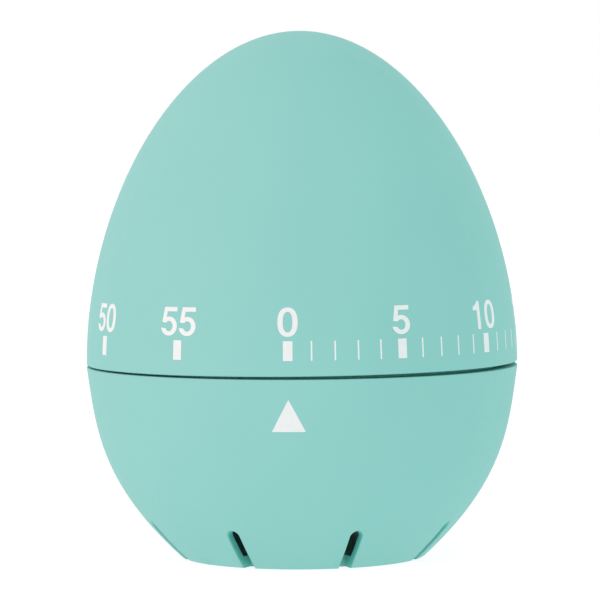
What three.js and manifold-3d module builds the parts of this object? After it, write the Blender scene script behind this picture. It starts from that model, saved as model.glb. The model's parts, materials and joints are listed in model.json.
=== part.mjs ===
// A wind-up kitchen timer: an egg-shaped case in two halves, with a clockwork movement and a bell inside.
// Millimetres, +Z up, origin at the centre of the face it rests on. The pointer on the base faces -Y.
import * as THREE from 'three';
import { mergeVertices } from 'three/addons/utils/BufferGeometryUtils.js';
import Module from 'manifold-3d';

const wasm = await Module();
wasm.setup();

// ---- Driving dimensions ----

const SEAM_Z = 26.84;           // middle of the gap between dome and base
const SEAM_GAP = 0.4;
const DOME_RADIUS = 29.97;
const DOME_TOP_Z = 73.05;
const DOME_SHOULDER_RISE = 22.55;   // Bezier handle above the dome's rim
const DOME_CROWN_REACH = 16.47;     // Bezier handle out from the dome's top
const DOME_WALL = 1.8;
const DOME_LEAN = THREE.MathUtils.degToRad(-0.29);   // the dome sits a little askew on its arbor
const BASE_RADIUS = 30;
const FOOT_RADIUS = 16.95;
const FOOT_REACH = 11.47;       // Bezier handle out from the foot
const FOOT_RISE = 10.55;        // and up from it
const BASE_WAIST_REACH = 1.21;  // Bezier handle in from the base's rim
const BASE_WAIST_DROP = 8.3;    // and down from it
const BASE_WALL = 1.2;
const FLOOR_TOP_Z = 1.6;
const FOOT_RECESS = 0.6;
const FOOT_RIM = 3;
const LIP_OUTER = 27.6;
const LIP_INNER = 26.4;
const LIP_TOP_Z = 28.8;
const LIP_SHELF_Z = 24.9;

const SLOT_COUNT = 8;
const SLOT_TURN = 0.4;          // degrees from the pointer to the middle of the front slots
const SLOT_WIDTH = 1.75;
const SLOT_TOP_Z = 5.65;
const SLOT_INNER_RADIUS = 14.8;

const PLATE_THICKNESS = 0.8;
const BOTTOM_PLATE_Z = 12.1;
const TOP_PLATE_Z = 24.2;
const BOTTOM_PLATE_RADIUS = 23.7;
const TOP_PLATE_RADIUS = 23.4;
const BOTTOM_PLATE_TOP = BOTTOM_PLATE_Z + PLATE_THICKNESS;
const TOP_PLATE_TOP = TOP_PLATE_Z + PLATE_THICKNESS;

const LUG_ANGLES = [100, 220, 340];      // degrees from +X, like every angle here
const LUG_RING = 21.8;
const LUG_RADIUS = 2.4;
const LUG_FOOT_Z = 6.5;         // outside the wall, so that a lug grows out of it
const LUG_BORE_Z = 8;
const PILLAR_ANGLES = [62, 150, 300];
const PILLAR_RING = 21.5;
const PILLAR_RADIUS = 1.5;
const SCREW_RADIUS = 0.8;

const OVERRUN = 1;              // how far a cutting tool runs past what it cuts
const FIT_GAP = 0.06;           // between pieces fixed to each other
const RUNNING_GAP = 0.1;        // between a pivot and its hole
const PIVOT_RADIUS = 0.5;
const PIVOT_PROUD = 0.2;        // how far pivots and posts stand out of a plate
const SHOULDER_GAP = 0.3;       // between a plate and the thick part of an arbor
const ARBOR_RADIUS = 2;
const ARBOR_FLAT = 1.4;         // from the arbor's axis to the flat of its D-shaped end
const ARBOR_TOP_Z = 33;
const WHEEL_THICKNESS = 0.8;
const WHEEL_SEAT_RADIUS = 0.7;  // of every arbor but the main one

// Gear train. A pinion's wheel is carried one layer above the wheel that drives the pinion.
const MAIN_GEAR = { teeth: 60, module: 0.4, z: 19.2 };
const MIDDLE_GEAR = { teeth: 54, module: 0.3, z: 21 };
const THIRD_GEAR = { teeth: 48, module: 0.3, z: 22.4 };
const FIRST_PINION_TEETH = 10;
const MIDDLE_PINION_TEETH = 9;
const ESCAPE_PINION_TEETH = 8;
const TRAIN_RING = 16;
const ANCHOR_RING = 17;
const ANCHOR_REACH = 5.72;      // from a toothed wheel's axis to the axis of the anchor it rocks
const TIP_RADIUS = 4;
const ESCAPE_WHEEL = { teeth: 15, z: 14.6 };
const STAR_WHEEL = { teeth: 12, z: 22.4 };
const PALLET_PLATE_Z = 16;
const VERGE_PLATE_Z = 21.4;
const ANCHOR_THICKNESS = 0.6;
const ANCHOR_PIN_RADIUS = 0.2;
const ANCHOR_PIN_GAP = 0.06;

const BALANCE_REACH = 5.8;
const BALANCE_RADIUS = 5;
const BALANCE_Z = 17.4;
const HAIRSPRING_Z = 20.4;
const MAINSPRING_Z = 13.4;

const BELL_RADIUS = 15;
const BELL_Z = 6.3;
const BELL_RIM_Z = 10.4;
const BELL_METAL = 0.8;
const BELL_INNER_SCALE = [0.9, 0.8];   // the inner curve's reach and rise, as shares of the outer curve's
const BOSS_RADIUS = 3;
const HAMMER_REACH = 10.1;
const HAMMER_HEAD_RADIUS = 1.8;
const HAMMER_BELL_GAP = 0.65;
const HAMMER_ARM_Z = 8.8;
const HAMMER_ARM_THICKNESS = 0.8;
const RIVET_RADIUS = 0.5;

const CAM_RADIUS = 5.2;
const CAM_NOTCH_DEPTH = 1.3;
const CAM_NOTCH_DEGREES = 40;
const STOP_RADIUS = 7;
const STOP_PIN_RADIUS = 0.5;
const STOP_ARM_WIDTH = 0.6;
const STOP_FREE_DEGREES = 15;   // what the stop takes out of a full turn of the dial

const CASE_SEGMENTS = 36;
const CASE_STEPS = 9;
const PIVOT_SEGMENTS = 8;
const CENTRE = [0, 0];

// ---- Materials ----

const metal = (color, roughness) => new THREE.MeshStandardMaterial({ color, roughness, metalness: 1 });
const plastic = (color, roughness) => new THREE.MeshStandardMaterial({ color, roughness, metalness: 0 });
const mintPlastic = () => plastic(0x97d0ca, 0.55);
const whiteNylon = () => plastic(0xe8e6dc, 0.5);
const brass = () => metal(0xc8a45a, 0.35);
const steel = () => metal(0xa9adb0, 0.35);
const blueSteel = () => metal(0x4a5566, 0.3);

// ---- Places ----

const radians = THREE.MathUtils.degToRad;
const polar = (radius, degrees) => [radius * Math.cos(radians(degrees)), radius * Math.sin(radians(degrees))];
const shifted = ([x, y], distance, angle) => [x + distance * Math.cos(angle), y + distance * Math.sin(angle)];
const bearing = ([x1, y1], [x2, y2]) => Math.atan2(y2 - y1, x2 - x1);

// The point on a ring around the timer's axis that lies a given distance on from another, anticlockwise.
function nextAxis(from, distance, ring) {
  const radius = Math.hypot(...from);
  const turn = Math.acos((radius ** 2 + ring ** 2 - distance ** 2) / (2 * radius * ring));
  return shifted(CENTRE, ring, bearing(CENTRE, from) + turn);
}

const gearDistance = (gear, pinionTeeth) => (gear.teeth + pinionTeeth) * gear.module / 2;

const SECOND_AXIS = polar(gearDistance(MAIN_GEAR, FIRST_PINION_TEETH), 0);
const THIRD_AXIS = nextAxis(SECOND_AXIS, gearDistance(MIDDLE_GEAR, MIDDLE_PINION_TEETH), TRAIN_RING);
const ESCAPE_AXIS = nextAxis(THIRD_AXIS, gearDistance(THIRD_GEAR, ESCAPE_PINION_TEETH), TRAIN_RING);
const PALLET_AXIS = nextAxis(ESCAPE_AXIS, ANCHOR_REACH, ANCHOR_RING);
const BALANCE_AXIS = nextAxis(PALLET_AXIS, BALANCE_REACH, TRAIN_RING);
const ALARM_AXIS = polar(gearDistance(MAIN_GEAR, FIRST_PINION_TEETH), 200);
const STAR_AXIS = nextAxis(ALARM_AXIS, gearDistance(MIDDLE_GEAR, MIDDLE_PINION_TEETH), TRAIN_RING);
const HAMMER_AXIS = nextAxis(STAR_AXIS, ANCHOR_REACH, ANCHOR_RING);
const LEVER_AXIS = polar(9, 310);
const SPRING_POST = polar(9.7, 130);
const HAIRSPRING_STUD = shifted(BALANCE_AXIS, 3.9, bearing(CENTRE, BALANCE_AXIS));
const STOP_ARM_ANGLE = 90;
const STOP_PIN = polar(STOP_RADIUS, STOP_ARM_ANGLE + STOP_FREE_DEGREES / 2);

// ---- Solids ----

function solid(geometry) {
  const bare = geometry.clone();
  bare.deleteAttribute('normal');
  bare.deleteAttribute('uv');
  const merged = mergeVertices(bare, 1e-5);
  const vertProperties = new Float32Array(merged.attributes.position.array);
  const triVerts = new Uint32Array(merged.index.array);
  return new wasm.Manifold(new wasm.Mesh({ numProp: 3, vertProperties, triVerts }));
}

function geometryOf(manifold) {
  const { vertProperties, triVerts } = manifold.getMesh();
  const geometry = new THREE.BufferGeometry();
  geometry.setAttribute('position', new THREE.BufferAttribute(vertProperties, 3));
  geometry.setIndex(new THREE.BufferAttribute(triVerts, 1));
  geometry.computeVertexNormals();
  return geometry;
}

const join = (first, ...others) =>
  geometryOf(others.reduce((sum, other) => sum.add(solid(other)), solid(first)));
const cut = (first, ...others) =>
  geometryOf(others.reduce((rest, other) => rest.subtract(solid(other)), solid(first)));
const common = (first, second) => geometryOf(solid(first).intersect(solid(second)));

const mesh = (name, geometry, material) => {
  const piece = new THREE.Mesh(geometry, material);
  piece.name = name;
  return piece;
};

// A solid of revolution about the Z axis through a point, from [radius, z] pairs.
function turned(profile, [x, y] = CENTRE, segments = PIVOT_SEGMENTS) {
  const points = profile.map(([radius, z]) => new THREE.Vector2(radius, z));
  const geometry = new THREE.LatheGeometry(points, segments);
  return geometry.rotateX(Math.PI / 2).translate(x, y, 0);
}

const ringPoints = (radius, [x, y], segments) =>
  Array.from({ length: segments }, (_, i) => shifted([x, y], radius, 2 * Math.PI * i / segments));

const asShape = points => new THREE.Shape(points.map(([x, y]) => new THREE.Vector2(x, y)));

function prism(outline, lowZ, highZ, holes = []) {
  const shape = asShape(outline);
  shape.holes = holes.map(asShape);
  const geometry = new THREE.ExtrudeGeometry(shape, { depth: highZ - lowZ, bevelEnabled: false });
  return geometry.translate(0, 0, lowZ);
}

const rod = (radius, centre, lowZ, highZ, segments = PIVOT_SEGMENTS) =>
  prism(ringPoints(radius, centre, segments), lowZ, highZ);

// A flat bar with round ends.
function bar(from, to, width, lowZ, highZ) {
  const angle = bearing(from, to);
  const end = (centre, facing) =>
    [-90, -45, 0, 45, 90].map(turn => shifted(centre, width / 2, facing + radians(turn)));
  return prism([...end(to, angle), ...end(from, angle + Math.PI)], lowZ, highZ);
}

// A circle with a flat on its +X side.
function dOutline(radius, flat, segments = 24) {
  const half = Math.acos(flat / radius);
  return Array.from({ length: segments + 1 }, (_, i) =>
    shifted(CENTRE, radius, half + (2 * Math.PI - 2 * half) * i / segments));
}

// A flat strip wound into a spiral, standing on its edge. Its outer end lies at an angle.
function spiral(centre, { inner, outer, turns, strip, height, stepsPerTurn }, endAngle, lowZ) {
  const steps = turns * stepsPerTurn;
  const side = offset => Array.from({ length: steps + 1 }, (_, i) => {
    const radius = inner + (outer - inner) * i / steps + offset;
    return shifted(centre, radius, endAngle - 2 * Math.PI * turns * (1 - i / steps));
  });
  return prism([...side(strip / 2), ...side(-strip / 2).reverse()], lowZ, lowZ + height);
}

// ---- Case ----

// A curve's points, moved to its left by an amount that makes a wall.
function offsetCurve(curve, inward, steps) {
  return Array.from({ length: steps + 1 }, (_, i) => {
    const point = curve.getPoint(i / steps);
    const along = curve.getTangent(i / steps);
    return [point.x - along.y * inward, point.y + along.x * inward];
  });
}

const domeCurve = new THREE.CubicBezierCurve(
  new THREE.Vector2(DOME_RADIUS, SEAM_Z + SEAM_GAP / 2),
  new THREE.Vector2(DOME_RADIUS, SEAM_Z + SEAM_GAP / 2 + DOME_SHOULDER_RISE),
  new THREE.Vector2(DOME_CROWN_REACH, DOME_TOP_Z),
  new THREE.Vector2(0, DOME_TOP_Z),
);

const baseCurve = new THREE.CubicBezierCurve(
  new THREE.Vector2(FOOT_RADIUS, 0),
  new THREE.Vector2(FOOT_RADIUS + FOOT_REACH, FOOT_RISE),
  new THREE.Vector2(BASE_RADIUS - BASE_WAIST_REACH, SEAM_Z - SEAM_GAP / 2 - BASE_WAIST_DROP),
  new THREE.Vector2(BASE_RADIUS, SEAM_Z - SEAM_GAP / 2),
);

// The radius at a height, on an outline of [radius, z] pairs that climbs.
function radiusAt(outline, height) {
  const above = outline.findIndex(([, z]) => z > height);
  const [[lowRadius, lowZ], [highRadius, highZ]] = outline.slice(above - 1, above + 1);
  return lowRadius + (highRadius - lowRadius) * (height - lowZ) / (highZ - lowZ);
}

const CARRIER_RADIUS = 27.4;
const CARRIER_Z = 29.4;
const CARRIER_THICKNESS = 1.6;
const CARRIER_HUB_RADIUS = 4.2;
const CARRIER_HUB_Z = 26.6;
const CARRIER_HUB_HEIGHT = 8.4;
const LEDGE_GAP = 0.4;
const LEDGE_WIDTH = 1.8;
const LEDGE_BLEND = 0.1;        // how far the dome's wall closes in up to the top of its ledge
const CORNER = 0.5;             // the least distance of a curved wall's first point from a corner

// The turning half: a dome with a ledge inside that rests on the carrier.
function domeShell() {
  const outside = offsetCurve(domeCurve, 0, CASE_STEPS);
  const ledgeZ = CARRIER_Z + CARRIER_THICKNESS + LEDGE_GAP;
  const ledgeTopZ = ledgeZ + 2 * LEDGE_WIDTH;
  const inside = offsetCurve(domeCurve, DOME_WALL, CASE_STEPS).filter(([, z]) => z > ledgeTopZ + CORNER);
  const innerRadius = DOME_RADIUS - DOME_WALL;
  outside[outside.length - 1][0] = 0;
  inside[inside.length - 1][0] = 0;
  const profile = [
    [innerRadius, SEAM_Z + SEAM_GAP / 2],
    ...outside,
    ...inside.reverse(),
    [innerRadius - LEDGE_BLEND, ledgeTopZ],
    [innerRadius - LEDGE_WIDTH, ledgeZ + LEDGE_WIDTH / 2],
    [innerRadius - LEDGE_WIDTH, ledgeZ],
    [innerRadius, ledgeZ],
    [innerRadius, SEAM_Z + SEAM_GAP / 2],
  ];
  return turned(profile, CENTRE, CASE_SEGMENTS);
}

// Degrees anticlockwise from -Y. The slots are evenly spaced, with the pointer between two of them.
function slotAngle(index) {
  return SLOT_TURN + (index + 0.5) * 360 / SLOT_COUNT;
}

// An arch that stands up and looks out along -Y, turned to its place around the base.
function slotCutter(index) {
  const half = SLOT_WIDTH / 2;
  const springZ = SLOT_TOP_Z - half;
  const arch = [0, 30, 60, 90, 120, 150, 180].map(turn => {
    const [x, z] = polar(half, turn);
    return [x, springZ + z];
  });
  const reach = BASE_RADIUS - SLOT_INNER_RADIUS;
  const cutter = prism([[-half, -OVERRUN], [half, -OVERRUN], ...arch], 0, reach);
  cutter.rotateX(Math.PI / 2).translate(0, -SLOT_INNER_RADIUS, 0);
  return cutter.rotateZ(radians(slotAngle(index)));
}

// The standing half: a cup on a foot rim, with sound slots, lugs for the movement and a boss for the bell.
function baseShell() {
  const rimZ = SEAM_Z - SEAM_GAP / 2;
  const outside = offsetCurve(baseCurve, 0, CASE_STEPS);
  const wall = offsetCurve(baseCurve, BASE_WALL, CASE_STEPS);
  const inside = wall.filter(([, z]) => z > FLOOR_TOP_Z + CORNER && z < LIP_SHELF_Z - 2 * CORNER);
  const profile = [
    [0, FOOT_RECESS],
    [FOOT_RADIUS - FOOT_RIM - FOOT_RECESS, FOOT_RECESS],
    [FOOT_RADIUS - FOOT_RIM, 0],
    ...outside,
    [LIP_OUTER, rimZ],
    [LIP_OUTER, LIP_TOP_Z],
    [LIP_INNER, LIP_TOP_Z],
    [LIP_INNER, LIP_SHELF_Z],
    ...inside.reverse(),
    [radiusAt(wall, FLOOR_TOP_Z), FLOOR_TOP_Z],
    [0, FLOOR_TOP_Z],
  ];
  const slots = Array.from({ length: SLOT_COUNT }, (_, index) => slotCutter(index));
  const cup = cut(turned(profile, CENTRE, CASE_SEGMENTS), ...slots);
  const body = turned([[0, 0], ...outside, [0, rimZ]], CENTRE, CASE_SEGMENTS);
  const lugs = LUG_ANGLES.map(angle =>
    common(rod(LUG_RADIUS, polar(LUG_RING, angle), LUG_FOOT_Z, BOTTOM_PLATE_Z - FIT_GAP), body));
  const boss = rod(BOSS_RADIUS, CENTRE, FLOOR_TOP_Z - CORNER, BELL_Z - FIT_GAP);
  const lugBores = LUG_ANGLES.map(angle =>
    rod(SCREW_RADIUS + FIT_GAP, polar(LUG_RING, angle), LUG_BORE_Z, BOTTOM_PLATE_Z));
  const bossBore = rod(SCREW_RADIUS + FIT_GAP, CENTRE, FLOOR_TOP_Z, BELL_Z);
  return cut(join(cup, ...lugs, boss), ...lugBores, bossBore);
}

// The disc inside the dome that takes the arbor's D-shaped end.
function dialCarrier() {
  const disc = rod(CARRIER_RADIUS, CENTRE, CARRIER_Z, CARRIER_Z + CARRIER_THICKNESS, CASE_SEGMENTS);
  const hub = rod(CARRIER_HUB_RADIUS, CENTRE, CARRIER_HUB_Z, CARRIER_HUB_Z + CARRIER_HUB_HEIGHT, 24);
  const boreOutline = dOutline(ARBOR_RADIUS + FIT_GAP, ARBOR_FLAT + FIT_GAP);
  const bore = prism(boreOutline, CARRIER_HUB_Z - OVERRUN, ARBOR_TOP_Z + LEDGE_GAP);
  return cut(join(disc, hub), bore);
}

// ---- Fasteners, plates and pillars ----

const HEAD_HEIGHT = 0.85;
const HEAD_EDGE = 0.5;
const HEAD_TOP_SHARE = 0.7;
const RECESS_REACH = 0.7;
const RECESS_WIDTH = 0.35;
const RECESS_DEPTH = 0.45;
const BELL_SCREW_HEAD_RADIUS = 2;
const BELL_SCREW_LENGTH = 3.4;
const PLATE_SCREW_LENGTH = 4;

// A pan-head screw standing on a seat, with a cross recess.
function screw(centre, seatZ, shankLength, headRadius = 2 * SCREW_RADIUS) {
  const topZ = seatZ + HEAD_HEIGHT;
  const blank = turned([
    [0, seatZ - shankLength],
    [SCREW_RADIUS, seatZ - shankLength],
    [SCREW_RADIUS, seatZ],
    [headRadius, seatZ],
    [headRadius, seatZ + HEAD_EDGE],
    [headRadius * HEAD_TOP_SHARE, topZ],
    [0, topZ],
  ], centre);
  const recess = [0, 90].map(turn => bar(
    shifted(centre, RECESS_REACH, radians(turn)),
    shifted(centre, -RECESS_REACH, radians(turn)),
    RECESS_WIDTH, topZ - RECESS_DEPTH, topZ + OVERRUN));
  return cut(blank, ...recess);
}

const bellScrew = () =>
  screw(CENTRE, BELL_Z + BELL_METAL + FIT_GAP, BELL_SCREW_LENGTH, BELL_SCREW_HEAD_RADIUS);

const pillarCentre = angle => polar(PILLAR_RING, angle);
const PILLAR_FOOT_RADIUS = 0.9;
const PILLAR_BORE_DEPTH = 4;

// A post between the plates, riveted into the lower one and tapped for a screw at its upper end.
function pillar(angle) {
  const centre = pillarCentre(angle);
  const top = TOP_PLATE_Z - FIT_GAP;
  const foot = rod(PILLAR_FOOT_RADIUS, centre, BOTTOM_PLATE_Z - PIVOT_PROUD, BOTTOM_PLATE_TOP + OVERRUN);
  const body = rod(PILLAR_RADIUS, centre, BOTTOM_PLATE_TOP + FIT_GAP, top);
  const bore = rod(SCREW_RADIUS + FIT_GAP, centre, top - PILLAR_BORE_DEPTH, top + OVERRUN);
  return cut(join(body, foot), bore);
}

const pivotHole = centre => ringPoints(PIVOT_RADIUS + RUNNING_GAP, centre, PIVOT_SEGMENTS);
const fixedHole = (radius, centre) => ringPoints(radius + FIT_GAP, centre, PIVOT_SEGMENTS);
const PLATED_AXES = [
  SECOND_AXIS, THIRD_AXIS, ESCAPE_AXIS, PALLET_AXIS, BALANCE_AXIS, ALARM_AXIS, STAR_AXIS, HAMMER_AXIS,
];
const CENTRE_PIVOT_RADIUS = 1;
const POST_RADIUS = 0.7;

function bottomPlate() {
  const outline = ringPoints(BOTTOM_PLATE_RADIUS, CENTRE, CASE_SEGMENTS);
  return prism(outline, BOTTOM_PLATE_Z, BOTTOM_PLATE_TOP, [
    ringPoints(CENTRE_PIVOT_RADIUS + RUNNING_GAP, CENTRE, 24),
    ...PLATED_AXES.map(pivotHole),
    ...LUG_ANGLES.map(angle => fixedHole(SCREW_RADIUS, polar(LUG_RING, angle))),
    ...PILLAR_ANGLES.map(angle => fixedHole(PILLAR_FOOT_RADIUS, pillarCentre(angle))),
    fixedHole(POST_RADIUS, SPRING_POST),
  ]);
}

function topPlate() {
  const outline = ringPoints(TOP_PLATE_RADIUS, CENTRE, CASE_SEGMENTS);
  return prism(outline, TOP_PLATE_Z, TOP_PLATE_TOP, [
    ringPoints(ARBOR_RADIUS + RUNNING_GAP, CENTRE, 24),
    ...PLATED_AXES.map(pivotHole),
    ...PILLAR_ANGLES.map(angle => fixedHole(SCREW_RADIUS, pillarCentre(angle))),
    fixedHole(POST_RADIUS, HAIRSPRING_STUD),
    fixedHole(STOP_PIN_RADIUS, STOP_PIN),
    fixedHole(PIVOT_RADIUS, LEVER_AXIS),
  ]);
}

// ---- Wheels ----

// Straight-flanked teeth: widths are shares of the tooth pitch, heights are in modules.
const WHEEL_TEETH = { tip: 0.16, root: 0.44, above: 0.7, below: 0.95 };
const PINION_TEETH = { tip: 0.12, root: 0.42, above: 0.6, below: 1.05 };
const PINION_OVERHANG = 0.2;    // how far a pinion's teeth run past its wheel on each side
const WINDOW_SHARE = 0.3;       // a window's radius as a share of the ring that the windows lie on

function gearOutline(teeth, module, form, [x, y], phase) {
  const pitchRadius = teeth * module / 2;
  const pitch = 2 * Math.PI / teeth;
  const corner = (height, share) => [pitchRadius + height * module, share * pitch / 2];
  const tooth = [
    corner(-form.below, -form.root),
    corner(form.above, -form.tip),
    corner(form.above, form.tip),
    corner(-form.below, form.root),
  ];
  return Array.from({ length: teeth }, (_, i) =>
    tooth.map(([radius, turn]) => shifted([x, y], radius, phase + i * pitch + turn))).flat();
}

// The phase that puts a pinion's teeth in the gaps of a wheel whose first tooth points along +X.
function pinionPhase(wheelAxis, wheelTeeth, pinionAxis, pinionTeeth) {
  const line = bearing(wheelAxis, pinionAxis);
  const wheelShare = line / (2 * Math.PI / wheelTeeth);
  return line + Math.PI - (0.5 - wheelShare) * 2 * Math.PI / pinionTeeth;
}

function wheel(gear, centre) {
  const seat = gear === MAIN_GEAR ? ARBOR_RADIUS : WHEEL_SEAT_RADIUS;
  const windowRing = (gear.teeth * gear.module / 2 + seat) / 2;
  const windows = [45, 135, 225, 315].map(angle =>
    ringPoints(windowRing * WINDOW_SHARE, shifted(centre, windowRing, radians(angle)), 8));
  const bore = ringPoints(seat + FIT_GAP, centre, gear === MAIN_GEAR ? 24 : PIVOT_SEGMENTS);
  const outline = gearOutline(gear.teeth, gear.module, WHEEL_TEETH, centre, 0);
  return prism(outline, gear.z, gear.z + WHEEL_THICKNESS, [bore, ...windows]);
}

// An arbor between the plates with a pivot at each end. Its lower pivot may run on below the plate.
function plainArbor(centre, lowZ = BOTTOM_PLATE_Z - PIVOT_PROUD) {
  const lowShoulder = BOTTOM_PLATE_TOP + SHOULDER_GAP;
  const highShoulder = TOP_PLATE_Z - SHOULDER_GAP;
  const highZ = TOP_PLATE_TOP + PIVOT_PROUD;
  return turned([
    [0, lowZ],
    [PIVOT_RADIUS, lowZ],
    [PIVOT_RADIUS, lowShoulder],
    [WHEEL_SEAT_RADIUS, lowShoulder],
    [WHEEL_SEAT_RADIUS, highShoulder],
    [PIVOT_RADIUS, highShoulder],
    [PIVOT_RADIUS, highZ],
    [0, highZ],
  ], centre);
}

// An arbor with a pinion cut in it, which meshes with a wheel.
function pinion(gear, gearAxis, teeth, centre) {
  const phase = pinionPhase(gearAxis, gear.teeth, centre, teeth);
  const outline = gearOutline(teeth, gear.module, PINION_TEETH, centre, phase);
  const highZ = gear.z + WHEEL_THICKNESS + PINION_OVERHANG;
  return join(plainArbor(centre), prism(outline, gear.z - PINION_OVERHANG, highZ));
}

const POINT_HALF_TURN = 0.02;   // radians, half of what a tooth's tip spans
const POINTED_ROOT_SHARE = 0.72;
const POINTED_ROOT_ENDS = [0.3, 0.7];   // shares of the pitch between which the root is flat

// Half the angle that an anchor's pins span on their wheel: one and a quarter tooth pitches.
const pinHalfAngle = ({ teeth }) => 1.25 * 2 * Math.PI / teeth;

// A wheel with pointed teeth. At rest the anchor's two pins stand a quarter pitch from the nearest tooth.
function pointedWheel(toothed, centre, anchorAxis) {
  const { teeth, z } = toothed;
  const pitch = 2 * Math.PI / teeth;
  const start = bearing(centre, anchorAxis) + pinHalfAngle(toothed) + pitch / 4;
  const outline = Array.from({ length: teeth }, (_, i) => [
    shifted(centre, TIP_RADIUS, start + i * pitch - POINT_HALF_TURN),
    shifted(centre, TIP_RADIUS, start + i * pitch + POINT_HALF_TURN),
    ...POINTED_ROOT_ENDS.map(share =>
      shifted(centre, TIP_RADIUS * POINTED_ROOT_SHARE, start + (i + share) * pitch)),
  ]).flat();
  const bore = ringPoints(WHEEL_SEAT_RADIUS + FIT_GAP, centre, PIVOT_SEGMENTS);
  return prism(outline, z, z + WHEEL_THICKNESS, [bore]);
}

// ---- Escapement and hammer ----

const ANCHOR_HUB_RADIUS = 1.1;
const ANCHOR_ARM_WIDTH = 0.9;

// A flat anchor with two pins that reach the teeth of a wheel, and a tail.
function anchor(axis, toothed, toothedAxis, plateZ, tailEnd, tailWidth) {
  const high = plateZ + ANCHOR_THICKNESS;
  const pinRing = TIP_RADIUS + ANCHOR_PIN_RADIUS + ANCHOR_PIN_GAP;
  const line = bearing(toothedAxis, axis);
  const pinCentres = [-1, 1].map(side => shifted(toothedAxis, pinRing, line + side * pinHalfAngle(toothed)));
  const lowPin = Math.min(toothed.z, plateZ);
  const highPin = Math.max(toothed.z + WHEEL_THICKNESS, high);
  const plate = join(
    rod(ANCHOR_HUB_RADIUS, axis, plateZ, high),
    ...pinCentres.map(end => bar(axis, end, ANCHOR_ARM_WIDTH, plateZ, high)),
    bar(axis, tailEnd, tailWidth, plateZ, high),
    ...pinCentres.map(end => rod(ANCHOR_PIN_RADIUS, end, lowPin, highPin)),
  );
  return cut(plate, rod(WHEEL_SEAT_RADIUS + FIT_GAP, axis, plateZ - OVERRUN, high + OVERRUN));
}

const PALLET_TAIL_LENGTH = 3.6;
const PALLET_TAIL_WIDTH = 0.8;

function palletLever() {
  const tailEnd = shifted(PALLET_AXIS, PALLET_TAIL_LENGTH, bearing(PALLET_AXIS, BALANCE_AXIS));
  return anchor(PALLET_AXIS, ESCAPE_WHEEL, ESCAPE_AXIS, PALLET_PLATE_Z, tailEnd, PALLET_TAIL_WIDTH);
}

const VERGE_FINGER_ANGLE = radians(20);
const VERGE_FINGER_LENGTH = 3.5;
const VERGE_FINGER_END = shifted(HAMMER_AXIS, VERGE_FINGER_LENGTH, VERGE_FINGER_ANGLE);

const hammerVerge = () =>
  anchor(HAMMER_AXIS, STAR_WHEEL, STAR_AXIS, VERGE_PLATE_Z, VERGE_FINGER_END, ANCHOR_ARM_WIDTH);

const BALANCE_THICKNESS = 1;
const BALANCE_RIM_WIDTH = 0.9;
const BALANCE_ARM_WIDTH = 1;
const BALANCE_ARM_INSET = 0.2;  // how much lower than the rim the arm lies on each face
const BALANCE_HUB_RADIUS = 1.4;

function balanceWheel() {
  const high = BALANCE_Z + BALANCE_THICKNESS;
  const rim = prism(ringPoints(BALANCE_RADIUS, BALANCE_AXIS, 32), BALANCE_Z, high,
    [ringPoints(BALANCE_RADIUS - BALANCE_RIM_WIDTH, BALANCE_AXIS, 32)]);
  const across = bearing(CENTRE, BALANCE_AXIS);
  const [armEnd, armStart] = [1, -1].map(side =>
    shifted(BALANCE_AXIS, side * (BALANCE_RADIUS - BALANCE_RIM_WIDTH), across));
  const arm = bar(armStart, armEnd, BALANCE_ARM_WIDTH,
    BALANCE_Z + BALANCE_ARM_INSET, high - BALANCE_ARM_INSET);
  const hub = rod(BALANCE_HUB_RADIUS, BALANCE_AXIS, BALANCE_Z, high);
  const bore = rod(WHEEL_SEAT_RADIUS + FIT_GAP, BALANCE_AXIS, BALANCE_Z - OVERRUN, high + OVERRUN);
  return cut(join(rim, arm, hub), bore);
}

const HAIRSPRING = { inner: 1.1, outer: 3, turns: 3, strip: 0.14, height: 0.6, stepsPerTurn: 12 };
const MAINSPRING = { inner: 2.8, outer: 8.6, turns: 5, strip: 0.4, height: 5, stepsPerTurn: 14 };

const hairspring = () => spiral(BALANCE_AXIS, HAIRSPRING, bearing(CENTRE, BALANCE_AXIS), HAIRSPRING_Z);
const mainspring = () => spiral(CENTRE, MAINSPRING, bearing(CENTRE, SPRING_POST), MAINSPRING_Z);

// The stud that holds the hairspring's outer end, and the post that holds the mainspring's.
const hairspringStud = () =>
  rod(POST_RADIUS, HAIRSPRING_STUD, HAIRSPRING_Z - PIVOT_PROUD, TOP_PLATE_TOP + PIVOT_PROUD);
const springPost = () =>
  rod(POST_RADIUS, SPRING_POST, BOTTOM_PLATE_Z - PIVOT_PROUD, MAINSPRING_Z + MAINSPRING.height + PIVOT_PROUD);

// The hammer's head rests a little way off the bell's rim.
const HAMMER_HEAD_RING = BELL_RADIUS + HAMMER_HEAD_RADIUS + HAMMER_BELL_GAP;
const HAMMER_HEAD = nextAxis(HAMMER_AXIS, HAMMER_REACH, HAMMER_HEAD_RING);
const HAMMER_ARM_WIDTH = 2;
const HAMMER_ARM_TOP = HAMMER_ARM_Z + HAMMER_ARM_THICKNESS;
const HAMMER_SLUG_LENGTH = 1.84;

function hammerArm() {
  const strip = bar(HAMMER_AXIS, HAMMER_HEAD, HAMMER_ARM_WIDTH, HAMMER_ARM_Z, HAMMER_ARM_TOP);
  const bore = (radius, centre) =>
    rod(radius + FIT_GAP, centre, HAMMER_ARM_Z - OVERRUN, HAMMER_ARM_TOP + OVERRUN);
  return cut(strip, bore(PIVOT_RADIUS, HAMMER_AXIS), bore(RIVET_RADIUS, HAMMER_HEAD));
}

// A slug below the arm, with a stub that is riveted through it.
function hammerHead() {
  const slugTop = HAMMER_ARM_Z - FIT_GAP;
  const slug = rod(HAMMER_HEAD_RADIUS, HAMMER_HEAD, slugTop - HAMMER_SLUG_LENGTH, slugTop, 16);
  return join(slug, rod(RIVET_RADIUS, HAMMER_HEAD, HAMMER_ARM_Z - OVERRUN, HAMMER_ARM_TOP + PIVOT_PROUD));
}

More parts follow.
